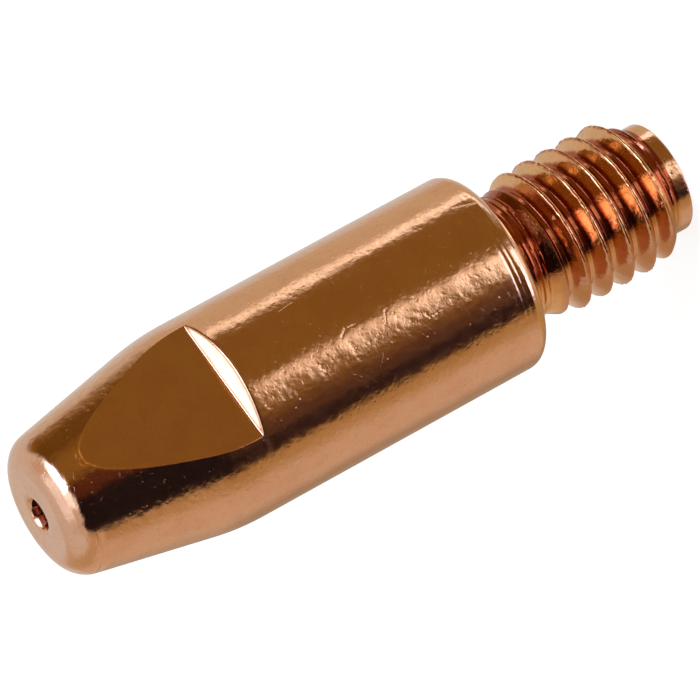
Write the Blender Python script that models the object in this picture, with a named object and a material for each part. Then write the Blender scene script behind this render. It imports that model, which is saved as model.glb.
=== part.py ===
"""Welding contact tip, turned from one copper bar.

The tip stands on its thread end. The origin is the centre of the rear face, +Z runs along the wire
bore to the nose, and the two spanner flats face +Y and -Y. Lengths are in metres, angles in radians.
"""

import math

import bmesh
import bpy

MM = 0.001

# Body and nose
OVERALL_LENGTH = 28.0 * MM
BODY_DIAMETER = 8.0 * MM
NOSE_DIAMETER = 5.36 * MM  # where the taper's line meets the nose face
NOSE_EDGE_RADIUS = 1.19 * MM
TAPER_LENGTH = 6.6 * MM  # from the nose face to where its line meets the body
TAPER_BLEND_RADIUS = 10.0 * MM

# Spanner flats
ACROSS_FLATS = 6.0 * MM
FLATS_LENGTH = 7.8 * MM  # from the nose face to the foot of the step
FLATS_STEP_SLOPE = math.radians(11.0)  # how far the step leans back from square

# Shank behind the body
SHANK_LENGTH = 7.83 * MM  # from the rear face to the shoulder
SHOULDER_EDGE_RADIUS = 0.53 * MM
SEAT_RELIEF_DEPTH = 0.05 * MM  # of the shoulder's hollow beside the neck, which clears the thread
NECK_DIAMETER = 4.9 * MM
NECK_LENGTH = 1.13 * MM
NECK_FILLET_RADIUS = 0.15 * MM
PILOT_DIAMETER = 4.44 * MM
PILOT_LENGTH = 0.65 * MM
PILOT_EDGE_CHAMFER = 0.06 * MM

# Thread, right handed
THREAD_DIAMETER = 5.95 * MM
THREAD_PITCH = 1.0 * MM
THREAD_LEAD_IN_ANGLE = math.radians(45.0)  # of the end next to the pilot, from the axis
THREAD_RUN_OUT_ANGLE = math.radians(30.0)  # of the end next to the neck, from the axis
THREAD_TURN = math.radians(-92.9)  # where round the tip the groove's line meets the rear face's plane
GROOVE_LIFT_TURNS = 0.6  # over which the groove fades out on the neck

# Bores
WIRE_BORE_DIAMETER = 1.2 * MM
WIRE_BORE_CHAMFER = 0.1 * MM
FEED_BORE_DIAMETER = 2.2 * MM
FEED_BORE_DEPTH = 10.0 * MM
FEED_BORE_POINT_ANGLE = math.radians(118.0)
FEED_MOUTH_DIAMETER = 3.2 * MM

# Fineness of the solid
TURN_SEGMENTS = 72
ARC_STEP = math.radians(15.0)

# Proportions of a 60 degree metric thread, in pitches
THREAD_DEPTH_SHARE = 0.6134
ROOT_FLAT_SHARE = 1.0 / 6.0
FLANK_ANGLE = math.radians(30.0)

# How far a cutter reaches past the metal that it removes
CUTTER_CLEARANCE = 0.05 * MM


def arc(centre, radius, start, end):
    """Points of an arc as (r, z), by the angle of its outward normal from +r towards +z."""
    steps = max(2, math.ceil(abs(end - start) / ARC_STEP))
    angles = [start + (end - start) * i / steps for i in range(steps + 1)]
    return [(centre[0] + radius * math.cos(a), centre[1] + radius * math.sin(a)) for a in angles]


def nose_points():
    """Nose face, its rounded edge, the taper and the blend into the body, from the bore outwards."""
    bore = WIRE_BORE_DIAMETER / 2
    nose = NOSE_DIAMETER / 2
    body = BODY_DIAMETER / 2
    lean = math.atan2(body - nose, TAPER_LENGTH)
    edge_r = nose + NOSE_EDGE_RADIUS * (math.tan(lean) - 1 / math.cos(lean))
    taper_foot = OVERALL_LENGTH - TAPER_LENGTH
    blend_z = taper_foot - TAPER_BLEND_RADIUS * math.tan(lean / 2)
    points = [
        (bore, OVERALL_LENGTH - WIRE_BORE_CHAMFER),
        (bore + WIRE_BORE_CHAMFER, OVERALL_LENGTH),
    ]
    points += arc((edge_r, OVERALL_LENGTH - NOSE_EDGE_RADIUS), NOSE_EDGE_RADIUS, math.pi / 2, lean)
    points += arc((body - TAPER_BLEND_RADIUS, blend_z), TAPER_BLEND_RADIUS, lean, 0)
    return points


def shoulder_points():
    """The body's rounded rear edge, the ring that seats on the holder, and the relief up to the neck."""
    edge_r = BODY_DIAMETER / 2 - SHOULDER_EDGE_RADIUS
    fillet_r = NECK_DIAMETER / 2 + NECK_FILLET_RADIUS
    fillet_z = SHANK_LENGTH + SEAT_RELIEF_DEPTH - NECK_FILLET_RADIUS
    edge = arc((edge_r, SHANK_LENGTH + SHOULDER_EDGE_RADIUS), SHOULDER_EDGE_RADIUS, 0, -math.pi / 2)
    seat_inner = ((edge_r + fillet_r) / 2, SHANK_LENGTH)
    return edge + [seat_inner] + arc((fillet_r, fillet_z), NECK_FILLET_RADIUS, math.pi / 2, math.pi)


def shank_points():
    """The neck, the blank for the thread with its two sloped ends, and the pilot."""
    neck = NECK_DIAMETER / 2
    crest = THREAD_DIAMETER / 2
    pilot = PILOT_DIAMETER / 2
    neck_end = SHANK_LENGTH - NECK_LENGTH
    run_out = (crest - neck) / math.tan(THREAD_RUN_OUT_ANGLE)
    lead_in = (crest - pilot) / math.tan(THREAD_LEAD_IN_ANGLE)
    return [
        (neck, neck_end),
        (crest, neck_end - run_out),
        (crest, PILOT_LENGTH + lead_in),
        (pilot, PILOT_LENGTH),
        (pilot, PILOT_EDGE_CHAMFER),
        (pilot - PILOT_EDGE_CHAMFER, 0),
    ]


def feed_bore_points():
    """The rear mouth, the wide feed bore and its drill point, up to the wire bore."""
    mouth = FEED_MOUTH_DIAMETER / 2
    feed = FEED_BORE_DIAMETER / 2
    wire = WIRE_BORE_DIAMETER / 2
    point = (feed - wire) / math.tan(FEED_BORE_POINT_ANGLE / 2)
    return [(mouth, 0), (feed, mouth - feed), (feed, FEED_BORE_DEPTH), (wire, FEED_BORE_DEPTH + point)]


def mesh_object(name, bm):
    bmesh.ops.recalc_face_normals(bm, faces=bm.faces)
    mesh = bpy.data.meshes.new(name)
    bm.to_mesh(mesh)
    bm.free()
    obj = bpy.data.objects.new(name, mesh)
    bpy.context.scene.collection.objects.link(obj)
    return obj


def turned_blank():
    """The closed section of the tip, spun round the bore's axis."""
    section = nose_points() + shoulder_points() + shank_points() + feed_bore_points()
    bm = bmesh.new()
    verts = [bm.verts.new((r, 0, z)) for r, z in section]
    edges = [bm.edges.new((a, b)) for a, b in zip(verts, verts[1:] + verts[:1])]
    bmesh.ops.spin(
        bm,
        geom=verts + edges,
        axis=(0, 0, 1),
        cent=(0, 0, 0),
        steps=TURN_SEGMENTS,
        angle=math.tau,
        use_merge=True,
    )
    return mesh_object("contact_tip", bm)


def groove_section(lift):
    """The groove's outline as (r, height above its middle), raised off the root by lift."""
    root = THREAD_DIAMETER / 2 - THREAD_DEPTH_SHARE * THREAD_PITCH
    outer = THREAD_DIAMETER / 2 + CUTTER_CLEARANCE
    foot = root + lift
    foot_half = ROOT_FLAT_SHARE * THREAD_PITCH / 2
    outer_half = foot_half + (outer - foot) * math.tan(FLANK_ANGLE)
    return [(outer, -outer_half), (foot, -foot_half), (foot, foot_half), (outer, outer_half)]


def thread_cutter():
    """A swept groove, from one turn short of the pilot's end, that lifts out of the metal on the neck."""
    last_z = SHANK_LENGTH - NECK_LENGTH + THREAD_PITCH / 2
    first_z = PILOT_LENGTH - THREAD_PITCH
    turn_shift = THREAD_TURN / math.tau
    first_step = math.floor((first_z / THREAD_PITCH + turn_shift) * TURN_SEGMENTS)
    last_step = math.ceil((last_z / THREAD_PITCH + turn_shift) * TURN_SEGMENTS)
    lift_steps = GROOVE_LIFT_TURNS * TURN_SEGMENTS
    full_lift = THREAD_DEPTH_SHARE * THREAD_PITCH
    bm = bmesh.new()
    rings = []
    for step in range(first_step, last_step + 1):
        lift = full_lift * max(0.0, 1 - (last_step - step) / lift_steps)
        angle = math.tau * step / TURN_SEGMENTS
        middle = THREAD_PITCH * (step / TURN_SEGMENTS - turn_shift)
        ring = []
        for r, rise in groove_section(lift):
            ring.append(bm.verts.new((r * math.cos(angle), r * math.sin(angle), middle + rise)))
        rings.append(ring)
    for lower, upper in zip(rings, rings[1:]):
        for i in range(4):
            j = (i + 1) % 4
            bm.faces.new((lower[i], lower[j], upper[j], upper[i]))
    bm.faces.new(rings[0])
    bm.faces.new(rings[-1])
    return mesh_object("thread_cutter", bm)


def flat_cutter(side):
    """The block that mills one flat: a plane beside the nose, ended by a step that leans back."""
    inner = ACROSS_FLATS / 2
    outer = BODY_DIAMETER / 2 + 1 * MM
    foot = OVERALL_LENGTH - FLATS_LENGTH
    top = OVERALL_LENGTH + 1 * MM
    drop = (outer - inner) * math.tan(FLATS_STEP_SLOPE)
    outline = [(inner, top), (inner, foot), (outer, foot - drop), (outer, top)]
    bm = bmesh.new()
    near = [bm.verts.new((-BODY_DIAMETER, side * y, z)) for y, z in outline]
    far = [bm.verts.new((BODY_DIAMETER, side * y, z)) for y, z in outline]
    bm.faces.new(near)
    bm.faces.new(far)
    for i in range(4):
        j = (i + 1) % 4
        bm.faces.new((near[i], near[j], far[j], far[i]))
    return mesh_object("flat_cutter", bm)


def cut(body, cutter):
    """Takes the cutter's volume out of the body and deletes the cutter."""
    modifier = body.modifiers.new("cut", "BOOLEAN")
    modifier.operation = "DIFFERENCE"
    modifier.solver = "EXACT"
    modifier.object = cutter
    bpy.context.view_layer.update()
    evaluated = body.evaluated_get(bpy.context.evaluated_depsgraph_get())
    result = bpy.data.meshes.new_from_object(evaluated)
    body.modifiers.remove(modifier)
    body.data = result
    bpy.data.objects.remove(cutter)


def copper():
    material = bpy.data.materials.new("bright_copper")
    material.use_nodes = True
    shader = material.node_tree.nodes["Principled BSDF"]
    shader.inputs["Base Color"].default_value = (0.80, 0.42, 0.22, 1.0)
    shader.inputs["Metallic"].default_value = 1.0
    shader.inputs["Roughness"].default_value = 0.25
    return material


def main():
    for obj in list(bpy.data.objects):
        bpy.data.objects.remove(obj)
    tip = turned_blank()
    cut(tip, thread_cutter())
    for side in (1, -1):
        cut(tip, flat_cutter(side))
    tip.data.name = "contact_tip"
    tip.data.materials.clear()
    tip.data.materials.append(copper())
    tip.data.shade_smooth()
    tip.data.set_sharp_from_angle(angle=math.radians(28.0))


main()
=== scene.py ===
"""Makes the finished surface of a turned copper contact tip, and the small studio that it stands in.

The tip stands on its thread end with the wire bore upright. Lengths are in metres, and angles round
the tip are counted from the middle of the front flat, which faces -Y.
"""

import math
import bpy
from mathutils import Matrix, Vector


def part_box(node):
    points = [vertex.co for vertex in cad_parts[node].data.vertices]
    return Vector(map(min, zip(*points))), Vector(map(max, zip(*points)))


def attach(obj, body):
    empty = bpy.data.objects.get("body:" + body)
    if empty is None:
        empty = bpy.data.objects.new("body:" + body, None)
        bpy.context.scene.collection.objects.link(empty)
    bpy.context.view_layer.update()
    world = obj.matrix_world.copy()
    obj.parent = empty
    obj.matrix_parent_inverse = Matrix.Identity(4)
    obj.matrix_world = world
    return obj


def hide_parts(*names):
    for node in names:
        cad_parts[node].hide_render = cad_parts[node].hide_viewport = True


bl_info = {
    "name": "Welding Contact Tip",
    "version": (1, 0, 0),
    "blender": (4, 5, 0),
    "location": "View3D > Sidebar > Contact Tip",
    "description": "Makes a turned copper contact tip and the studio that it is shown in",
    "category": "Add Mesh",
}

from collections import namedtuple

import bmesh
import bpy
import numpy as np
from bpy.props import FloatProperty, FloatVectorProperty, PointerProperty
from mathutils import Matrix, Vector

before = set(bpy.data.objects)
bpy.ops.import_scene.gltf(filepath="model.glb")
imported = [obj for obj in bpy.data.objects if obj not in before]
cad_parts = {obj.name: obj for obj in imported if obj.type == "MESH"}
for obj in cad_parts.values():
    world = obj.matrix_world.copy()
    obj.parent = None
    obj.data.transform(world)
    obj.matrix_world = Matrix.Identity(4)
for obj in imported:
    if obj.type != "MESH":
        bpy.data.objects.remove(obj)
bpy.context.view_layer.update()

NODE = "contact_tip"
TIP_LOW, TIP_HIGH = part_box(NODE)
MM = 0.001

# Columns of the skin in each quarter turn: across the flat, over its edge, and round to the side
FLAT_COLUMNS = 22
EDGE_COLUMNS = 4
ROUND_COLUMNS = 26
EDGE_HALF_ANGLE = 0.01
LEAST_FLAT_ANGLE = math.radians(1.5)

# Rows of the thread in each pitch, as distances from the groove's middle in half pitches
GROOVE_ROWS = (0.0, 0.11, 0.165, 0.22, 0.36, 0.52, 0.68, 0.79, 0.85, 0.9, 0.95, 1.0)

# Proportions of a 60 degree metric thread, in pitches, and the point of a drill
THREAD_DEPTH_SHARE = 0.6134
ROOT_FLAT_SHARE = 1 / 6
FLANK_ANGLE = math.radians(30)
DRILL_POINT_ANGLE = math.radians(118)

# Small roundings, and the wear on the crests. The fillet's lift, in its own radii, is what brings its
# end onto a step that leans back 11 degrees, and it is next to right for the step's real slope.
FLAT_EDGE_ROUNDING = 0.02 * MM
STEP_FILLET = 0.08 * MM
STEP_FILLET_LIFT = 0.824
ROOT_ROUNDING = 0.05 * MM
CREST_ROUNDING = 0.055 * MM
CREST_WEAR = 0.011 * MM

# Where round the tip the wire bore's edge has chipped, and where the wire has worn it most
CHIP_TURN = math.radians(183)
WORN_TURN = math.radians(9)

# Zones of the surface, in the order of the mesh's material slots and of their finishes
BODY, FLATS, NOSE_FACE, NOSE_EDGE, THREAD, BORE = range(6)

# Roughness of each zone, and the depths of its marks in micrometres
Finish = namedtuple("Finish", "name roughness peel grain dents pits rings")
FINISHES = (
    Finish("turned_copper", 0.14, peel=6.5, grain=2.4, dents=3.0, pits=4.0, rings=0.6),
    Finish("milled_copper", 0.08, peel=2.0, grain=0.7, dents=0.8, pits=3.0, rings=0.0),
    Finish("faced_copper", 0.20, peel=4.0, grain=1.4, dents=1.0, pits=2.0, rings=0.3),
    Finish("rounded_copper", 0.12, peel=5.0, grain=2.0, dents=3.0, pits=2.0, rings=0.8),
    Finish("threaded_copper", 0.10, peel=8.0, grain=4.5, dents=0.0, pits=2.0, rings=0.4),
    Finish("drilled_copper", 0.25, peel=2.0, grain=1.0, dents=0.0, pits=0.8, rings=0.6),
)

# Rings that the turning tool left beside the shoulder, as height above it and width
SHOULDER_RINGS = ((0.88 * MM, 0.15 * MM), (0.67 * MM, 0.11 * MM), (0.42 * MM, 0.07 * MM))

# Ridges round the neck, as millimetres above the thread's end, share of the full ridge, waves and phase
NECK_RIDGES = ((0.045, 1.0, 3, 1.0), (0.29, 0.75, 2, 0.2), (0.52, 0.35, 3, 2.6))

# Dents and scratches in the body: both ends as (way round from the front flat, height) and the width,
# in millimetres, and the depth in micrometres
MARKS = (
    ((1.04, 17.25), (1.14, 16.55), 0.06, 4.0),
    ((1.43, 9.09), (1.15, 8.36), 0.12, 15.0),
    ((-1.06, 15.79), (-0.86, 15.53), 0.10, 6.0),
    ((-0.86, 15.53), (-0.90, 15.07), 0.08, 5.0),
    ((-0.98, 13.82), (-1.39, 14.03), 0.09, 5.0),
    ((-1.94, 12.37), (-1.91, 11.86), 0.08, 4.0),
    ((-2.35, 14.60), (-2.75, 14.95), 0.08, 4.0),
    ((-4.42, 20.93), (-4.87, 20.38), 0.06, 4.0),
)


class TipSizes(bpy.types.PropertyGroup):
    """Sizes of the contact tip."""

    body_diameter: FloatProperty(
        name="Body diameter",
        description="Across the plain part of the body",
        default=8.0 * MM,
        unit="LENGTH",
    )
    nose_diameter: FloatProperty(
        name="Nose diameter",
        description="Where the taper's line meets the nose face",
        default=5.36 * MM,
        unit="LENGTH",
    )
    nose_edge_radius: FloatProperty(
        name="Nose edge radius",
        description="Rounding between the nose face and the taper",
        default=1.19 * MM,
        unit="LENGTH",
    )
    taper_length: FloatProperty(
        name="Taper length",
        description="From the nose face to where the taper's line meets the body",
        default=6.6 * MM,
        unit="LENGTH",
    )
    taper_blend_radius: FloatProperty(
        name="Taper blend radius",
        description="Rounding between the taper and the body",
        default=10.0 * MM,
        unit="LENGTH",
    )
    across_flats: FloatProperty(
        name="Across flats",
        description="Size of the spanner that fits the flats",
        default=6.0 * MM,
        unit="LENGTH",
    )
    flats_length: FloatProperty(
        name="Flats length",
        description="From the nose face to the foot of the step",
        default=7.8 * MM,
        unit="LENGTH",
    )
    flats_step_slope: FloatProperty(
        name="Step slope",
        description="How far the step behind each flat leans back from square",
        default=math.radians(12.5),
        unit="ROTATION",
    )
    shank_length: FloatProperty(
        name="Shank length",
        description="From the rear face to the shoulder",
        default=7.83 * MM,
        unit="LENGTH",
    )
    shoulder_edge_radius: FloatProperty(
        name="Shoulder edge radius",
        description="Rounding at the rear end of the body",
        default=0.53 * MM,
        unit="LENGTH",
    )
    seat_relief_depth: FloatProperty(
        name="Seat relief depth",
        description="Of the shoulder's hollow beside the neck",
        default=0.05 * MM,
        unit="LENGTH",
    )
    neck_diameter: FloatProperty(
        name="Neck diameter",
        description="Across the relief between the shoulder and the thread",
        default=4.9 * MM,
        unit="LENGTH",
    )
    neck_length: FloatProperty(
        name="Neck length",
        description="From the shoulder to where the thread's blank starts to rise",
        default=1.13 * MM,
        unit="LENGTH",
    )
    neck_fillet_radius: FloatProperty(
        name="Neck fillet radius",
        description="Rounding between the shoulder face and the neck",
        default=0.15 * MM,
        unit="LENGTH",
    )
    pilot_diameter: FloatProperty(
        name="Pilot diameter",
        description="Across the plain end behind the thread",
        default=4.44 * MM,
        unit="LENGTH",
    )
    pilot_length: FloatProperty(
        name="Pilot length",
        description="From the rear face to where the thread starts to rise",
        default=0.65 * MM,
        unit="LENGTH",
    )
    pilot_edge: FloatProperty(
        name="Pilot edge",
        description="Chamfer at the rear end of the pilot",
        default=0.06 * MM,
        unit="LENGTH",
    )
    thread_diameter: FloatProperty(
        name="Thread diameter",
        description="Over the crests of the thread",
        default=5.95 * MM,
        unit="LENGTH",
    )
    thread_pitch: FloatProperty(
        name="Thread pitch",
        description="From one crest to the next, along the tip",
        default=1.0 * MM,
        unit="LENGTH",
    )
    thread_turn: FloatProperty(
        name="Thread turn",
        description="Where the groove's line meets the rear face's plane, from +X",
        default=math.radians(-92.9),
        unit="ROTATION",
    )
    lead_in_angle: FloatProperty(
        name="Lead-in angle",
        description="Of the thread's end next to the pilot, from the axis",
        default=math.radians(45.0),
        unit="ROTATION",
    )
    run_out_angle: FloatProperty(
        name="Run-out angle",
        description="Of the thread's end next to the neck, from the axis",
        default=math.radians(27.5),
        unit="ROTATION",
    )
    groove_lift_turns: FloatProperty(
        name="Groove lift turns",
        description="Turns over which the groove fades out on the neck",
        default=0.6,
    )
    neck_burr_height: FloatProperty(
        name="Neck burr height",
        description="Of the tallest of the thin ridges round the neck, where the thread begins",
        default=0.1 * MM,
        unit="LENGTH",
    )
    step_rim_radius: FloatProperty(
        name="Step rim radius",
        description="Rounding between the step and the body",
        default=0.1 * MM,
        unit="LENGTH",
    )
    wire_bore_diameter: FloatProperty(
        name="Wire bore diameter",
        description="Across the hole that the welding wire runs through",
        default=1.2 * MM,
        unit="LENGTH",
    )
    wire_bore_chip: FloatProperty(
        name="Wire bore chip",
        description="How much wider the wire bore's edge is where it has chipped",
        default=0.1 * MM,
        unit="LENGTH",
    )
    wire_bore_chamfer: FloatProperty(
        name="Wire bore chamfer",
        description="Edge of the wire bore in the nose face",
        default=0.1 * MM,
        unit="LENGTH",
    )
    feed_bore_diameter: FloatProperty(
        name="Feed bore diameter",
        description="Across the wider bore at the thread end",
        default=2.2 * MM,
        unit="LENGTH",
    )
    feed_bore_depth: FloatProperty(
        name="Feed bore depth",
        description="From the rear face to the drill point",
        default=10.0 * MM,
        unit="LENGTH",
    )
    feed_mouth_diameter: FloatProperty(
        name="Feed mouth diameter",
        description="Across the countersink in the rear face",
        default=3.2 * MM,
        unit="LENGTH",
    )


def circle_rows(pairs, columns, zone):
    """Plain rings, one for each (radius, height)."""
    rows = []
    for r, z in pairs:
        rows.append((r * np.sin(columns), -r * np.cos(columns), z + 0 * columns, zone))
    return rows


def bump_at(value, middle, width):
    """1 at the middle and next to 0 beyond the width, for ridges and grooves."""
    return np.exp(-(((value - middle) / (width / 2)) ** 2))


def arc(centre, radius, start, end, count):
    """Points of an arc as (r, z), by the angle of its outward normal from +r towards +z."""
    angles = np.linspace(start, end, count + 1)
    return [(centre[0] + radius * math.cos(a), centre[1] + radius * math.sin(a)) for a in angles]


def blend_least(a, b, width):
    """The lesser of two values, with the corner between them rounded over a width."""
    near = np.clip(1 - np.abs(a - b) / width, 0, 1)
    return np.minimum(a, b) - near**2 * width / 4


def column_angles(flat_half_angle):
    """Angles of the columns from the front flat's middle, set close together on the flat's edges."""
    half_width = min(EDGE_HALF_ANGLE, flat_half_angle / 2)
    inner = flat_half_angle - half_width
    outer = flat_half_angle + half_width
    flat = np.arctan(np.linspace(0, math.tan(inner), FLAT_COLUMNS, endpoint=False))
    rim = np.linspace(inner, outer, EDGE_COLUMNS, endpoint=False)
    side = np.linspace(outer, math.pi / 2, ROUND_COLUMNS, endpoint=False)
    quarter = np.concatenate([flat, rim, side])
    half = np.concatenate([quarter, [math.pi / 2], math.pi - quarter[:0:-1]])
    return np.concatenate([half, math.pi + half])


class Taper:
    """The line of the taper and its blends, worked out from the sizes."""

    def __init__(self, sizes):
        self.top = TIP_HIGH.z
        self.body = sizes.body_diameter / 2
        self.nose = sizes.nose_diameter / 2
        self.flat = sizes.across_flats / 2
        self.edge = sizes.nose_edge_radius
        self.blend = sizes.taper_blend_radius
        self.lean = math.atan2(self.body - self.nose, sizes.taper_length)
        self.edge_r = self.nose + self.edge * (math.tan(self.lean) - 1 / math.cos(self.lean))
        self.blend_z = self.top - sizes.taper_length - self.blend * math.tan(self.lean / 2)
        self.blend_top = self.blend_z + self.blend * math.sin(self.lean)
        self.flat_top = self.top - (self.flat - self.nose) / math.tan(self.lean)
        self.foot = self.top - sizes.flats_length

    def radius(self, z):
        """Radius of the turned skin at a height below the nose's rounding."""
        if z >= self.blend_top:
            return self.nose + (self.top - z) * math.tan(self.lean)
        if z > self.blend_z:
            return self.body - self.blend + math.sqrt(self.blend**2 - (z - self.blend_z) ** 2)
        return self.body

    def flat_half_angle(self, z):
        """Half of the angle that a flat takes up round the tip at a height."""
        ratio = min(1.0, self.flat / self.radius(z))
        return max(math.acos(ratio), LEAST_FLAT_ANGLE)


def nose_rows(sizes, taper):
    """The wire bore's chipped edge, the nose face and its rounded edge with the tool's marks."""
    top = taper.top
    widest = taper.flat_half_angle(taper.foot)
    columns = column_angles(widest)
    bore = sizes.wire_bore_diameter / 2
    near_chip = np.cos(columns - CHIP_TURN)
    chip = sizes.wire_bore_chip * np.clip((near_chip - 0.90) / 0.04, 0, 1)
    worn = 0.5 + 0.5 * np.cos(columns - WORN_TURN)
    width = sizes.wire_bore_chamfer * (0.45 + 1.1 * worn) + chip
    depth = sizes.wire_bore_chamfer * (0.6 + 1.1 * worn) + chip * 1.35
    rings = [(bore, top - depth), (bore + width * 0.97, top - depth * 0.03), (bore + width * 1.04, top)]
    reach = taper.edge_r - bore
    rings += [(bore + reach * share, top) for share in (0.35, 0.6, 0.85)]
    rows = circle_rows(rings, columns, NOSE_FACE)
    for share in np.linspace(0, 1, 55):
        angle = math.pi / 2 + (taper.lean - math.pi / 2) * share
        columns = column_angles(widest + (LEAST_FLAT_ANGLE * 4 - widest) * share)
        lift = nose_marks(columns, share)
        r = taper.edge_r + (taper.edge + lift) * math.cos(angle)
        z = top - taper.edge + (taper.edge + lift) * math.sin(angle)
        rows += circle_rows([(r, np.minimum(z, top))], columns, NOSE_FACE if share < 0.3 else NOSE_EDGE)
    return rows


def nose_marks(columns, share):
    """Height of the tool's marks on the nose's rounding, from its face (0) to the taper (1)."""
    where = np.clip(-np.sin(columns), 0, 1) ** 2 + 0.6 * np.clip(np.sin(columns - 0.5), 0, 1) ** 2
    crease = -0.018 * MM * bump_at(share, 0.965, 0.05) * where
    line = -0.004 * MM * bump_at(share, 0.54 + 0.012 * np.sin(columns * 3 + 1), 0.045)
    rough = np.sin(columns * 11 + 3 * np.sin(columns * 4))
    rough = rough + 0.6 * np.sin(columns * 23 + 2 * np.sin(share * 19))
    return crease + line + 0.0025 * MM * rough * bump_at(share, 0.74, 0.4)


def taper_rows(taper):
    """The taper and the body down to the foot of the flats, with the flats cut into them."""
    start = taper.flat_top
    edge_end = taper.top - taper.edge * (1 - math.sin(taper.lean))
    heights = list(np.linspace(edge_end, start, 4)[1:])
    heights += [start - (start - taper.blend_top) * (i / 30) ** 2 for i in range(1, 31)]
    heights += list(np.linspace(taper.blend_top, taper.foot + 0.5 * MM, 13)[1:])
    heights += list(np.linspace(taper.foot + 0.40 * MM, taper.foot + 0.07 * MM, 5))
    rows = []
    for z in heights:
        r = taper.radius(z)
        angles = column_angles(taper.flat_half_angle(z))
        plane = taper.flat / np.maximum(np.abs(np.cos(angles)), 1e-6)
        reach = blend_least(r, plane, FLAT_EDGE_ROUNDING) if r > taper.flat else np.full(len(angles), r)
        rows.append((reach * np.sin(angles), -reach * np.cos(angles), np.full(len(angles), z), BODY))
    return rows


def step_rows(sizes, taper):
    """The step behind each flat, from its foot to its rim. Its rows spread out on the plain body."""
    angles = column_angles(taper.flat_half_angle(taper.foot))
    plane = taper.flat / np.maximum(np.abs(np.cos(angles)), 1e-6)
    reach = blend_least(taper.body, plane, FLAT_EDGE_ROUNDING)
    x = reach * np.sin(angles)
    inner = reach * np.abs(np.cos(angles))
    outer = np.sqrt(np.maximum(taper.body**2 - x**2, inner**2))
    depth = outer - inner
    side = -np.sign(np.cos(angles))
    slope = math.tan(sizes.flats_step_slope)
    spread = 0.1 * MM * (1 - depth / (depth + 0.03 * MM))
    fillet = STEP_FILLET * np.minimum(1, depth / (0.2 * MM))
    rim = sizes.step_rim_radius * np.minimum(1, depth / (0.3 * MM))
    rows = []
    for normal in np.radians((0, 16, 32, 48, 64, 79)):
        out, up = 1 - math.cos(normal), STEP_FILLET_LIFT - math.sin(normal)
        y = inner + fillet * out
        z = taper.foot + fillet * up + 0.2 * spread * (1 - out)
        rows.append((x, side * y, z, NOSE_FACE))
    for share in (0.1, 0.25, 0.5, 0.75):
        y = inner + np.maximum((depth - rim) * share, fillet * (0.9 + share))
        z = taper.foot - (y - inner) * slope - spread * share
        rows.append((x, side * np.minimum(y, outer), z, NOSE_FACE))
    corner = taper.foot - depth * slope - spread
    for share in (0.0, 0.2, 0.4, 0.6, 0.8, 1.0):
        y = outer - rim * (1 - share) ** 2
        z = corner + rim * (slope * (1 - share) ** 2 - share**2) - spread * share
        rows.append((x, side * y, z, NOSE_FACE if share < 0.7 else BODY))
    return rows


def body_rows(sizes, taper, columns):
    """The plain body, its rounded rear edge, the shoulder face and the fillet into the neck."""
    edge = sizes.shoulder_edge_radius
    shoulder = sizes.shank_length
    neck = sizes.neck_diameter / 2
    fillet = sizes.neck_fillet_radius
    relief = sizes.seat_relief_depth
    heights = list(np.linspace(taper.foot - 0.5 * MM, shoulder + 1.0 * MM, 12))
    heights += list(np.linspace(shoulder + 0.98 * MM, shoulder + edge, 24, endpoint=False))
    outline = [(taper.body, z) for z in heights]
    outline += arc((taper.body - edge, shoulder + edge), edge, 0, -math.pi / 2, 30)
    deep = 0.015 + 0.075 * np.exp(8 * (np.cos(columns + math.radians(23)) - 1))
    pairs = []
    for r, z in outline:
        groove = sum(width * bump_at(z, shoulder + up, width) for up, width in SHOULDER_RINGS)
        pairs.append((r - groove * deep, z))
    seat_inner = (taper.body - edge + neck + fillet) / 2
    inner = [(seat_inner + 0.02 * MM, shoulder), (seat_inner - 0.02 * MM, shoulder + relief * 0.2)]
    inner += arc((neck + fillet, shoulder + relief - fillet), fillet, math.pi / 2, math.pi, 5)
    return circle_rows(pairs, columns, BODY) + circle_rows(inner, columns, THREAD)


def blank_radius(sizes, z):
    """Radius of the thread's blank, with its two sloped ends, at heights along the shank."""
    neck = sizes.neck_diameter / 2
    crest = sizes.thread_diameter / 2
    pilot = sizes.pilot_diameter / 2
    lead_in = pilot + (z - sizes.pilot_length) * math.tan(sizes.lead_in_angle)
    run_out = neck + (sizes.shank_length - sizes.neck_length - z) * math.tan(sizes.run_out_angle)
    sloped = blend_least(blend_least(run_out, crest, 0.2 * MM), lead_in, 0.3 * MM)
    floor = np.where(z > sizes.shank_length / 2, neck, pilot)
    return np.maximum(sloped, floor)


def neck_burr(sizes, turn, z):
    """Height of the thin uneven ridges that the tool pushed up round the neck."""
    end = sizes.shank_length - sizes.neck_length
    height = 0 * z
    for up, share, waves, phase in NECK_RIDGES:
        uneven = 0.7 + 0.3 * np.sin(turn * waves + phase) + 0.12 * np.sin(turn * 13 + phase * 5)
        wander = 0.03 * MM * np.sin(turn * 2 + phase)
        height = height + share * uneven * bump_at(z, end + up * MM + wander, 0.07 * MM)
    return sizes.neck_burr_height * height


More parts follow.
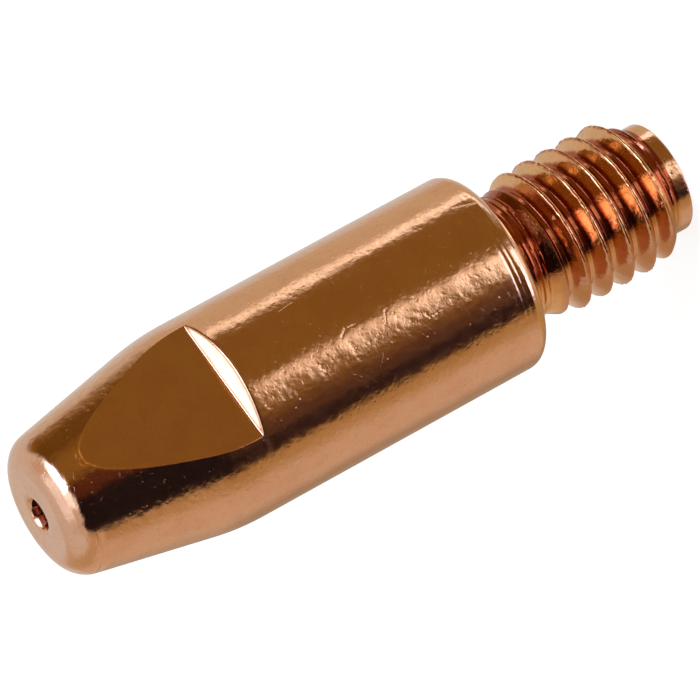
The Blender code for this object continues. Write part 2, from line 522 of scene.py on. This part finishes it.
def thread_radius(sizes, turn, z):
    """Radius of the threaded surface at heights on a line at an angle from +X."""
    pitch = sizes.thread_pitch
    depth = THREAD_DEPTH_SHARE * pitch
    root = sizes.thread_diameter / 2 - depth
    along = z / pitch - (turn - sizes.thread_turn) / math.tau
    middle = np.round(along)
    away = np.abs(along - middle) * pitch
    groove_z = z - (along - middle) * pitch
    end = sizes.shank_length - sizes.neck_length + pitch / 2
    lift = depth * np.clip(1 - (end - groove_z) / (sizes.groove_lift_turns * pitch), 0, 4)
    flank = np.maximum(away - ROOT_FLAT_SHARE * pitch / 2, 0) / math.tan(FLANK_ANGLE)
    soft_root = np.sqrt(flank**2 + ROOT_ROUNDING**2) - ROOT_ROUNDING
    groove = root + lift + soft_root
    worn = np.sin(turn * 23 + 3 * np.sin(turn * 7) + z / pitch * 5)
    worn = worn + np.sin(turn * 51 + 2 * np.sin(turn * 13) + z / pitch * 9)
    blank = blank_radius(sizes, z)
    near_crest = np.clip((blank - sizes.thread_diameter / 2) / (0.1 * MM) + 1, 0, 1)
    crest = blank - CREST_WEAR * (1.6 + worn) * near_crest
    return blend_least(groove, crest, CREST_ROUNDING) + neck_burr(sizes, turn, z)


def neck_rows(sizes, columns):
    """Level rows close together on the neck, over the ridge and the end of the groove."""
    top = sizes.shank_length + sizes.seat_relief_depth - sizes.neck_fillet_radius
    turns = columns - math.pi / 2
    rows = []
    for z in np.linspace(top, neck_end(sizes), 44)[1:]:
        r = thread_radius(sizes, turns, np.full(len(columns), z))
        rows.append((r * np.sin(columns), -r * np.cos(columns), np.full(len(columns), z), THREAD))
    return rows


def neck_end(sizes):
    """Height where the level rows of the neck meet the rows that follow the thread."""
    return sizes.shank_length - sizes.neck_length - 0.1 * MM


def thread_grid(sizes, columns):
    """Heights and radii of rows that follow the thread, from the neck to the pilot."""
    pitch = sizes.thread_pitch
    top = neck_end(sizes)
    bottom = sizes.pilot_length
    phases = [share / 2 for share in GROOVE_ROWS]
    phases += [1 - share / 2 for share in GROOVE_ROWS[-2:0:-1]]
    first = math.ceil(top / pitch) + 1
    last = math.floor(bottom / pitch) - 2
    levels = [whole + 1 - phase for whole in range(first, last, -1) for phase in phases]
    turns = columns - math.pi / 2
    heights = pitch * (np.array(levels)[:, None] + (turns - sizes.thread_turn)[None, :] / math.tau)
    heights = np.clip(heights, bottom, top)
    return heights, thread_radius(sizes, turns[None, :], heights), len(phases)


def end_rows(sizes, columns):
    """The pilot, the rear face, the mouth, the feed bore and the wire bore, up to the nose."""
    pilot = sizes.pilot_diameter / 2
    edge = sizes.pilot_edge
    mouth = sizes.feed_mouth_diameter / 2
    feed = sizes.feed_bore_diameter / 2
    wire = sizes.wire_bore_diameter / 2
    point = (feed - wire) / math.tan(DRILL_POINT_ANGLE / 2)
    outside = [(pilot, z) for z in np.linspace(sizes.pilot_length, edge, 6)[1:]]
    outside += arc((pilot - edge, edge), edge, 0, -math.pi / 2, 5)[1:]
    inside = [(mouth + 0.02 * MM, 0), (mouth - 0.01 * MM, 0.02 * MM), (feed, mouth - feed)]
    inside += [(feed, z) for z in np.linspace(mouth - feed, sizes.feed_bore_depth, 5)[1:]]
    inside += [(wire, sizes.feed_bore_depth + point)]
    inside += [(wire, z) for z in np.linspace(sizes.feed_bore_depth + point, TIP_HIGH.z - 0.6 * MM, 6)[1:]]
    return circle_rows(outside, columns, BODY) + circle_rows(inside, columns, BORE)


def tip_mesh(sizes):
    """The whole skin as one closed mesh, with a material index for each zone."""
    taper = Taper(sizes)
    columns = column_angles(taper.flat_half_angle(taper.foot))
    count = len(columns)
    upper = nose_rows(sizes, taper) + taper_rows(taper) + step_rows(sizes, taper)
    upper += body_rows(sizes, taper, columns) + neck_rows(sizes, columns)
    lower = end_rows(sizes, columns)
    heights, radii, per_turn = thread_grid(sizes, columns)

    grid = [np.stack(row[:3], axis=1) for row in upper]
    zones = [row[3] for row in upper]
    thread_start = len(grid)
    for z, r in zip(heights, radii):
        grid.append(np.stack([r * np.sin(columns), -r * np.cos(columns), z], axis=1))
        zones.append(THREAD)
    thread_end = len(grid) - 1
    grid += [np.stack(row[:3], axis=1) for row in lower]
    zones += [row[3] for row in lower]

    faces = []
    slots = []
    total = len(grid)
    for row in range(total):
        below = (row + 1) % total
        for column in range(count):
            beside = (column + 1) % count
            shift = per_turn if beside == 0 and thread_start <= row < thread_end else 0
            near = max(row - shift, thread_start) if shift else row
            near_below = max(below - shift, thread_start) if shift else below
            faces.append(
                (
                    row * count + column,
                    near * count + beside,
                    near_below * count + beside,
                    below * count + column,
                )
            )
            slots.append(zones[row])
    return np.concatenate(grid), faces, slots


def make_tip(sizes):
    """Builds the mesh object, closed and with its faces pointing out."""
    points, faces, slots = tip_mesh(sizes)
    taper = Taper(sizes)
    mesh = bpy.data.meshes.new("turned_tip")
    mesh.from_pydata(points.tolist(), [], faces)
    mesh.polygons.foreach_set("material_index", slots)
    bm = bmesh.new()
    bm.from_mesh(mesh)
    bmesh.ops.remove_doubles(bm, verts=bm.verts, dist=1e-7)
    bmesh.ops.dissolve_degenerate(bm, edges=bm.edges, dist=1e-7)
    bmesh.ops.recalc_face_normals(bm, faces=bm.faces)
    for face in bm.faces:
        centre = face.calc_center_median()
        on_flat = abs(face.normal.y) > 0.9999 and abs(abs(centre.y) - taper.flat) < 0.01 * MM
        if on_flat and centre.z > taper.foot:
            face.material_index = FLATS
        face.smooth = True
    bm.to_mesh(mesh)
    bm.free()
    mesh.set_sharp_from_angle(angle=math.radians(40))
    piece = bpy.data.objects.new("turned_tip", mesh)
    bpy.context.scene.collection.objects.link(piece)
    return piece


class CopperLook(bpy.types.PropertyGroup):
    """Colour and finish of the copper."""

    copper: FloatVectorProperty(
        name="Copper",
        description="Colour of the clean metal",
        default=(0.79, 0.465, 0.31),
        subtype="COLOR",
        size=3,
        min=0,
        max=1,
    )
    thread_copper: FloatVectorProperty(
        name="Thread copper",
        description="Colour of the metal in the thread, on the neck and in the bores, where it has reddened",
        default=(0.81, 0.445, 0.21),
        subtype="COLOR",
        size=3,
        min=0,
        max=1,
    )
    # Painted shade: this colour darkens the bottom of the thread's groove and the neck on the -Y side, and
    # the bores are painted in it. It also darkens random patches on the crests.
    groove_shade_and_crest_dirt: FloatVectorProperty(
        name="Groove grime",
        description="Colour at the bottom of the thread's groove and of the neck",
        default=(0.42, 0.11, 0.05),
        subtype="COLOR",
        size=3,
        min=0,
        max=1,
    )
    # Besides dulling the copper at random, this colour is painted shade on the -X side of the thread.
    tarnish_and_side_shade: FloatVectorProperty(
        name="Tarnish",
        description="Colour of the metal where it has dulled",
        default=(0.62, 0.30, 0.16),
        subtype="COLOR",
        size=3,
        min=0,
        max=1,
    )


class NodeBuilder:
    """Adds nodes to a material or world and wires them, one call for each node."""

    def __init__(self, tree):
        self.tree = tree
        tree.nodes.clear()

    def feed(self, socket, value):
        """Links a socket to another node's output, or sets it to a plain value."""
        if isinstance(value, bpy.types.NodeSocket):
            self.tree.links.new(value, socket)
        else:
            socket.default_value = value

    def add(self, kind, inputs=None, **settings):
        node = self.tree.nodes.new(kind)
        for name, value in settings.items():
            setattr(node, name, value)
        for name, value in (inputs or {}).items():
            self.feed(node.inputs[name], value)
        return node

    def math(self, operation, a, b=0.0, c=0.0):
        node = self.add("ShaderNodeMath", operation=operation)
        for socket, value in zip(node.inputs, (a, b, c)):
            self.feed(socket, value)
        return node.outputs[0]

    def dot(self, vector, direction):
        inputs = {0: vector, 1: direction}
        return self.add("ShaderNodeVectorMath", inputs, operation="DOT_PRODUCT").outputs["Value"]

    def fade(self, value, low, high):
        """0 below low, 1 above high, and a soft step between them."""
        node = self.add("ShaderNodeMapRange", {"Value": value}, interpolation_type="SMOOTHSTEP")
        node.inputs["From Min"].default_value = low
        node.inputs["From Max"].default_value = high
        return node.outputs["Result"]

    def mix(self, factor, a, b, blend="MIX"):
        node = self.add("ShaderNodeMix", {"Factor": factor}, data_type="RGBA", blend_type=blend)
        for name, value in (("A", a), ("B", b)):
            socket = next(s for s in node.inputs if s.name == name and s.type == "RGBA")
            self.feed(socket, value if isinstance(value, bpy.types.NodeSocket) else (*value, 1))
        return next(s for s in node.outputs if s.type == "RGBA")

    def segment_distance(self, place, start, end):
        """Distance from a place to the line between two points."""
        way = Vector(end) - Vector(start)
        offset = self.add("ShaderNodeVectorMath", {0: place, 1: start}, operation="SUBTRACT").outputs[0]
        along = self.math("DIVIDE", self.dot(offset, way), way.length_squared)
        along.node.use_clamp = True
        foot = self.add("ShaderNodeVectorMath", {0: way, "Scale": along}, operation="SCALE").outputs[0]
        gap = self.add("ShaderNodeVectorMath", {0: offset, 1: foot}, operation="DISTANCE")
        return gap.outputs["Value"]

    def spots(self, place, per_mm, share, least, most):
        """1 in the middle of scattered spots, which a share of the cells have, fading to 0 round them."""
        cell = self.add("ShaderNodeTexVoronoi", {"Vector": place, "Scale": per_mm, "Randomness": 1.0})
        chance = self.add("ShaderNodeSeparateColor", {0: cell.outputs["Color"]}).outputs[0]
        reach = self.math("MULTIPLY_ADD", chance, (most - least) * per_mm, least * per_mm)
        inside = self.fade(self.math("DIVIDE", cell.outputs["Distance"], reach), 1.0, 0.1)
        return self.math("MULTIPLY", self.math("GREATER_THAN", chance, 1 - share), inside)

    def noise(self, vector, scale, detail=3.0, roughness=0.5):
        inputs = {"Vector": vector, "Scale": scale, "Detail": detail, "Roughness": roughness}
        return self.add("ShaderNodeTexNoise", inputs).outputs["Fac"]


def marks_depth(build, in_mm, half_width, ragged):
    """Depth of the dents and scratches in the body, in micrometres. Ragged is a fine noise."""
    parts = build.add("ShaderNodeSeparateXYZ", {0: in_mm}).outputs
    turn = build.math("ARCTAN2", parts["X"], build.math("MULTIPLY", parts["Y"], -1))
    around = build.math("MULTIPLY", turn, half_width)
    spread = build.add("ShaderNodeCombineXYZ", {"X": around, "Y": parts["Z"]}).outputs[0]
    depth = 0.0
    for start, end, width, deep in MARKS:
        distance = build.segment_distance(spread, (*start, 0), (*end, 0))
        distance = build.math("SUBTRACT", distance, width * 0.5)
        distance = build.math("MULTIPLY_ADD", ragged, width * 1.2, distance)
        depth = build.math("MULTIPLY_ADD", build.fade(distance, width, 0), deep, depth)
    return depth


class Patterns:
    """The noises and spots that the colour, the roughness and the height of the copper share."""

    def __init__(self, build):
        place = build.add("ShaderNodeTexCoord").outputs["Object"]
        self.in_mm = build.add("ShaderNodeMapping", {"Vector": place, "Scale": (1000, 1000, 1000)}).outputs[0]
        around = build.add("ShaderNodeMapping", {"Vector": self.in_mm, "Scale": (0.25, 0.25, 9.0)}).outputs[0]
        self.cloud = build.noise(self.in_mm, 0.9, 2)
        self.blotch = build.noise(self.in_mm, 4.0, 1, 0.5)
        self.fine = build.noise(self.in_mm, 13.0, 2, 0.6)
        self.streak = build.noise(around, 1.0, 3)
        shift = build.add("ShaderNodeTexNoise", {"Vector": self.in_mm, "Scale": 5.0, "Detail": 2.0})
        inputs = {0: shift.outputs["Color"], 1: (0.25, 0.25, 0.25), 2: self.in_mm}
        bent = build.add("ShaderNodeVectorMath", inputs, operation="MULTIPLY_ADD").outputs[0]
        self.dent = build.spots(bent, 3.4, 0.6, 0.05, 0.2)
        self.pit = build.spots(self.in_mm, 3.4, 0.5, 0.02, 0.08)


def dulled_colour(build, marks, clean, tarnish_and_side_shade):
    """The clean colour, dulled in clouds, blotches, fine grains and pits."""
    grains = build.fade(marks.fine, 0.5, 0.8)
    dull = build.math("MULTIPLY_ADD", build.fade(marks.cloud, 0.4, 0.7), 0.4, grains)
    dull = build.math("MULTIPLY_ADD", build.fade(marks.blotch, 0.5, 0.75), 0.25, dull)
    dull = build.math("MULTIPLY_ADD", marks.pit, 0.3, build.math("MULTIPLY", dull, 0.5))
    dull.node.use_clamp = True
    return build.mix(dull, clean, tarnish_and_side_shade)


def thread_colour(build, marks, colour, shade_and_dirt, tarnish_and_side_shade):
    """Paints shade into the bottom of the groove and onto the neck on the -Y side, darkens random patches of
    the crests, and paints shade on the -X side below the neck.
    """
    # Painted shade: the bottom of the groove and the neck are darkened only on the -Y side, which faces the
    # camera.
    front = build.fade(build.dot(marks.in_mm, (0.16, -0.99, 0)), 0.6, 1.5)
    parts = build.add("ShaderNodeSeparateXYZ", {0: marks.in_mm}).outputs
    level = build.add("ShaderNodeCombineXYZ", {"X": parts["X"], "Y": parts["Y"]}).outputs[0]
    radius = build.add("ShaderNodeVectorMath", {0: level}, operation="LENGTH").outputs["Value"]
    uneven_radius = build.math("MULTIPLY_ADD", marks.blotch, 0.08, build.math("SUBTRACT", radius, 0.04))
    deep = build.math("MAXIMUM", build.fade(uneven_radius, 2.60, 2.46), build.fade(parts["Z"], 6.1, 6.5))
    colour = build.mix(build.math("MULTIPLY", deep, front), colour, shade_and_dirt)
    crest = build.math("MULTIPLY", build.fade(radius, 2.84, 2.92), build.fade(marks.blotch, 0.42, 0.56))
    colour = build.mix(build.math("MULTIPLY", crest, 0.75), colour, shade_and_dirt)
    # Painted shade on the -X side of the thread, below the neck.
    left = build.fade(build.dot(marks.in_mm, (-1, -0.07, 0)), 1.9, 2.6)
    below_neck = build.fade(parts["Z"], 6.5, 6.1)
    return build.mix(build.math("MULTIPLY", left, below_neck), colour, tarnish_and_side_shade)


def surface_height(build, marks, finish):
    """Height of the surface's unevenness, in micrometres."""
    height = build.math("MULTIPLY", marks.blotch, finish.peel)
    height = build.math("MULTIPLY_ADD", marks.cloud, finish.peel * 4, height)
    height = build.math("MULTIPLY_ADD", marks.fine, finish.grain, height)
    height = build.math("MULTIPLY_ADD", marks.streak, finish.rings, height)
    height = build.math("MULTIPLY_ADD", marks.dent, -finish.dents, height)
    return build.math("MULTIPLY_ADD", marks.pit, -finish.pits, height)


def copper_material(zone, look):
    """Bright copper for one zone of the surface."""
    finish = FINISHES[zone]
    shade_and_dirt, tarnish_and_side_shade = tuple(look.groove_shade_and_crest_dirt), tuple(look.tarnish_and_side_shade)
    # The bores are painted in the dark groove colour, as painted shade inside them.
    clean = {THREAD: tuple(look.thread_copper), BORE: shade_and_dirt}.get(zone, tuple(look.copper))
    material = bpy.data.materials.new(finish.name)
    material.use_nodes = True
    build = NodeBuilder(material.node_tree)
    marks = Patterns(build)
    colour = dulled_colour(build, marks, clean, tarnish_and_side_shade)
    if zone == THREAD:
        colour = thread_colour(build, marks, colour, shade_and_dirt, tarnish_and_side_shade)
    roughness = build.math("MULTIPLY_ADD", marks.blotch, 0.12, finish.roughness - 0.06)
    roughness = build.math("MULTIPLY_ADD", marks.pit, 0.15, roughness)
    height = surface_height(build, marks, finish)
    if zone == BODY:
        height = build.math("SUBTRACT", height, marks_depth(build, marks.in_mm, 4.0, marks.fine))
    bump = build.add("ShaderNodeBump", {"Height": height, "Distance": 0.001 * MM, "Strength": 1.0})
    shader = build.add(
        "ShaderNodeBsdfPrincipled",
        {"Base Color": colour, "Metallic": 1.0, "Roughness": roughness, "Normal": bump.outputs[0]},
    )
    build.add("ShaderNodeOutputMaterial", {"Surface": shader.outputs[0]})
    return material


class OBJECT_OT_contact_tip(bpy.types.Operator):
    """Make the turned copper tip with its flats, thread and bores"""

    bl_idname = "object.contact_tip_make"
    bl_label = "Make Contact Tip"
    bl_options = {"REGISTER", "UNDO"}

    def execute(self, context):
        piece = make_tip(context.scene.tip_sizes)
        for zone in range(len(FINISHES)):
            piece.data.materials.append(copper_material(zone, context.scene.tip_look))
        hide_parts(NODE)
        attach(piece, "root")
        return {"FINISHED"}


class StudioSettings(bpy.types.PropertyGroup):
    """Camera, floor and light."""

    camera_azimuth: FloatProperty(
        name="Camera azimuth",
        description="Where the camera stands round the tip, from -Y towards +X",
        default=math.radians(-20.9),
        unit="ROTATION",
    )
    camera_elevation: FloatProperty(
        name="Camera elevation",
        description="How far the camera stands above the tip's middle",
        default=math.radians(20.46),
        unit="ROTATION",
    )
    camera_distance: FloatProperty(
        name="Camera distance",
        description="From the middle of the tip",
        default=264.05 * MM,
        unit="LENGTH",
    )
    camera_roll: FloatProperty(
        name="Camera roll",
        description="Turns the picture so that the nose points down to the left",
        default=math.radians(118.67),
        unit="ROTATION",
    )
    camera_lens: FloatProperty(
        name="Lens",
        description="Focal length in millimetres for a sensor 36 mm wide",
        default=365.9,
    )
    aim_right: FloatProperty(
        name="Aim right",
        description="How far right of the tip's middle the camera looks",
        default=-0.1485 * MM,
        unit="LENGTH",
    )
    aim_up: FloatProperty(
        name="Aim up",
        description="How far above the tip's middle, in the picture, the camera looks",
        default=-0.2598 * MM,
        unit="LENGTH",
    )
    floor_colour: FloatVectorProperty(
        name="Floor",
        description="Colour of the floor",
        default=(0.92, 0.92, 0.92),
        subtype="COLOR",
        size=3,
        min=0,
        max=1,
    )


def camera_axes(studio):
    """The camera's right, up and back directions, before its roll."""
    a, e = studio.camera_azimuth, studio.camera_elevation
    back = Vector((math.sin(a) * math.cos(e), -math.cos(a) * math.cos(e), math.sin(e)))
    right = Vector((math.cos(a), math.sin(a), 0))
    return right, back.cross(right), back


def make_camera(context, studio):
    data = bpy.data.cameras.new("photo_camera")
    data.lens = studio.camera_lens
    data.sensor_width = 36
    data.clip_start = 0.01
    data.clip_end = 10
    camera = bpy.data.objects.new("photo_camera", data)
    context.scene.collection.objects.link(camera)
    right0, up0, back = camera_axes(studio)
    roll = studio.camera_roll
    right = right0 * math.cos(roll) - up0 * math.sin(roll)
    up = right0 * math.sin(roll) + up0 * math.cos(roll)
    middle = (TIP_LOW + TIP_HIGH) / 2
    place = middle + back * studio.camera_distance + right * studio.aim_right + up * studio.aim_up
    turn = Matrix((right, up, back)).transposed().to_4x4()
    camera.matrix_world = Matrix.Translation(place) @ turn
    context.scene.camera = camera


def make_floor(context, studio):
    half = 1.5
    mesh = bpy.data.meshes.new("floor")
    corners = [(-half, -half, 0), (half, -half, 0), (half, half, 0), (-half, half, 0)]
    mesh.from_pydata(corners, [], [(0, 1, 2, 3)])
    floor = bpy.data.objects.new("floor", mesh)
    floor.location.z = TIP_LOW.z - 0.01 * MM
    floor.visible_glossy = False
    context.scene.collection.objects.link(floor)
    material = bpy.data.materials.new("pale_floor")
    material.use_nodes = True
    build = NodeBuilder(material.node_tree)
    matt = build.add("ShaderNodeBsdfDiffuse", {"Color": (*studio.floor_colour, 1)})
    faint = build.add("ShaderNodeBsdfDiffuse", {"Color": (0.25, 0.25, 0.25, 1)})
    white = build.add("ShaderNodeEmission", {"Color": (1, 1, 1, 1), "Strength": 0.85})
    bright = build.add("ShaderNodeAddShader", {0: faint.outputs[0], 1: white.outputs[0]})
    ray = build.add("ShaderNodeLightPath").outputs
    mirrored = build.math("MAXIMUM", ray["Is Glossy Ray"], ray["Is Transmission Ray"])
    seen = build.math("MAXIMUM", ray["Is Camera Ray"], mirrored)
    mixed = build.add("ShaderNodeMixShader", {0: seen, 1: matt.outputs[0], 2: bright.outputs[0]})
    build.add("ShaderNodeOutputMaterial", {"Surface": mixed.outputs[0]})
    mesh.materials.append(material)


# The room that the copper mirrors. Turns are counted from the camera's side and rises from the horizon,
# in degrees, each with the softness of its edges. A slope lifts the rises with the turn. A later
# patch covers the ones before it.
PALE_ROOM = (0.72, 0.71, 0.67)
ROOM = (
    # name, turns, edge, rises, edge, slope, colour
    ("warm wall", (-165, -40), 20, (-99, 36), 10, 0.0, (0.70, 0.57, 0.43)),
    ("wall's foot", (-165, -52), 10, (-64, -35), 4, 0.0, (0.55, 0.41, 0.15)),
    ("shaded corner", (-199, -134), 14, (-60, -12), 6, 0.0, (0.43, 0.33, 0.23)),
    ("tan wall", (-172, -58), 8, (12, 34), 6, 0.0, (0.60, 0.46, 0.28)),
    ("ochre wall", (-84, -40), 12, (-33, 3), 5, 0.0, (0.50, 0.34, 0.14)),
    ("brown card", (-46, 122), 7, (-75, 31), 4, 0.0, (0.26, 0.145, 0.033)),
    ("card's foot", (44, 78), 8, (-62, -35), 4, 0.0, (0.45, 0.36, 0.26)),
    ("card's glint", (32, 50), 6, (-9, -3), 1.5, 0.0, (0.9, 0.52, 0.12)),
    ("card's gap", (100, 138), 6, (-75, -38), 5, 0.0, (0.62, 0.55, 0.42)),
    ("card's shade", (66, 106), 10, (-12, 30), 5, 0.0, (0.16, 0.08, 0.013)),
    ("window blind", (84, 138), 4, (-55, -15), 6, 0.05, (0.68, 0.58, 0.41)),
    ("window", (85, 96), 3.5, (-52, -14), 6, 0.0, (1.40, 1.36, 1.20)),
    ("window's foot", (74, 96), 5, (-62, -35), 4, 0.0, (1.2, 1.3, 1.4)),
    ("maroon curtain", (-30, 20), 9, (-3, 35), 4, 0.0, (0.10, 0.03, 0.014)),
    ("curtain's shade", (-48, -23), 15, (-44, -6), 6, 0.0, (0.085, 0.04, 0.022)),
    ("dark doorway", (-64, -42), 5, (-36, 35), 5, 0.0, (0.03, 0.016, 0.016)),
    ("doorway's top", (-61, -7), 7, (-7, 39), 4, 0.0, (0.014, 0.010, 0.012)),
    ("white board", (-48, 11), 5, (-99, -21), 4.5, 0.50, (1.35, 1.22, 1.02)),
    ("board's edge", (-14, 8), 4, (-40, -23.3), 1.5, 0.0, (1.70, 1.75, 1.65)),
    ("window's sill", (86, 95), 3, (-40, -23.3), 1.5, 0.0, (1.9, 1.9, 2.0)),
    ("board's bright part", (-54, 12), 7, (-48, -35), 2.5, 0.0, (2.8, 2.6, 3.8)),
    ("pale ceiling", (-80, 138), 8, (41, 64), 4, 0.0, (0.70, 0.60, 0.50)),
    ("ceiling by the lamp", (-60, 145), 20, (63, 99), 5, 0.0, (1.2, 1.3, 1.45)),
    ("lamp's glow", (-22, 60), 8, (42, 64), 3, -0.1, (1.5, 1.65, 1.9)),
    ("lamp", (14, 82), 8, (43.5, 68), 2.5, -0.13, (2.8, 3.6, 4.6)),
    ("lamp's tube", (30, 66), 6, (43, 53), 2.5, -0.13, (6.5, 9.0, 16.0)),
    ("white ceiling", (-199, 199), 1, (74, 99), 5, 0.0, (1.08, 1.12, 1.22)),
)


def patch(build, turn, rise, turns, turn_edge, rises, rise_edge, slope):
    """1 inside a patch of the room, fading to 0 over its edges."""
    level = build.math("MULTIPLY_ADD", turn, -slope, rise) if slope else rise
    left = build.fade(turn, turns[0] - turn_edge, turns[0] + turn_edge)
    right = build.fade(turn, turns[1] + turn_edge, turns[1] - turn_edge)
    low = build.fade(level, rises[0] - rise_edge, rises[0] + rise_edge)
    high = build.fade(level, rises[1] + rise_edge, rises[1] - rise_edge)
    across = build.math("MULTIPLY", left, right)
    return build.math("MULTIPLY", across, build.math("MULTIPLY", low, high))


def make_light(context, studio):
    """A pale room with a lamp above the camera's right, a brown side and a dark side."""
    world = bpy.data.worlds.new("soft_studio")
    world.use_nodes = True
    context.scene.world = world
    world.cycles.sampling_method = "NONE"
    build = NodeBuilder(world.node_tree)
    look = build.add("ShaderNodeTexCoord").outputs["Generated"]
    right, _, back = camera_axes(studio)
    ahead = Vector((back.x, back.y, 0)).normalized()
    turn = build.math("ARCTAN2", build.dot(look, right), build.dot(look, ahead))
    turn = build.math("DEGREES", turn)
    rise = build.math("DEGREES", build.math("ARCSINE", build.dot(look, (0, 0, 1))))
    room = PALE_ROOM
    for _, turns, turn_edge, rises, rise_edge, slope, colour in ROOM:
        inside = patch(build, turn, rise, turns, turn_edge, rises, rise_edge, slope)
        room = build.mix(inside, room, colour)
    shade = build.add("ShaderNodeBackground", {"Color": room, "Strength": 1.0})
    build.add("ShaderNodeOutputWorld", {"Surface": shade.outputs[0]})


class SCENE_OT_tip_studio(bpy.types.Operator):
    """Set up the floor, the soft light and the camera at the photograph's angle"""

    bl_idname = "scene.contact_tip_studio"
    bl_label = "Set Up Studio"
    bl_options = {"REGISTER", "UNDO"}

    def execute(self, context):
        studio = context.scene.tip_studio
        context.scene.view_settings.view_transform = "Standard"
        make_camera(context, studio)
        make_floor(context, studio)
        make_light(context, studio)
        return {"FINISHED"}


class VIEW3D_PT_contact_tip(bpy.types.Panel):
    """Sizes, finish and stage of the contact tip"""

    bl_idname = "VIEW3D_PT_contact_tip"
    bl_label = "Contact Tip"
    bl_space_type = "VIEW_3D"
    bl_region_type = "UI"
    bl_category = "Contact Tip"

    def draw(self, context):
        layout = self.layout
        for group in (context.scene.tip_sizes, context.scene.tip_look):
            column = layout.column(align=True)
            for name in group.__annotations__:
                column.prop(group, name)
        layout.operator(OBJECT_OT_contact_tip.bl_idname)
        column = layout.column(align=True)
        for name in StudioSettings.__annotations__:
            column.prop(context.scene.tip_studio, name)
        layout.operator(SCENE_OT_tip_studio.bl_idname)


CLASSES = (
    TipSizes,
    CopperLook,
    StudioSettings,
    OBJECT_OT_contact_tip,
    SCENE_OT_tip_studio,
    VIEW3D_PT_contact_tip,
)


def register():
    for cls in CLASSES:
        bpy.utils.register_class(cls)
    bpy.types.Scene.tip_sizes = PointerProperty(type=TipSizes)
    bpy.types.Scene.tip_look = PointerProperty(type=CopperLook)
    bpy.types.Scene.tip_studio = PointerProperty(type=StudioSettings)


def unregister():
    del bpy.types.Scene.tip_studio
    del bpy.types.Scene.tip_look
    del bpy.types.Scene.tip_sizes
    for cls in reversed(CLASSES):
        bpy.utils.unregister_class(cls)


def main():
    register()
    bpy.ops.object.contact_tip_make()
    bpy.ops.scene.contact_tip_studio()


if __name__ == "__main__":
    main()
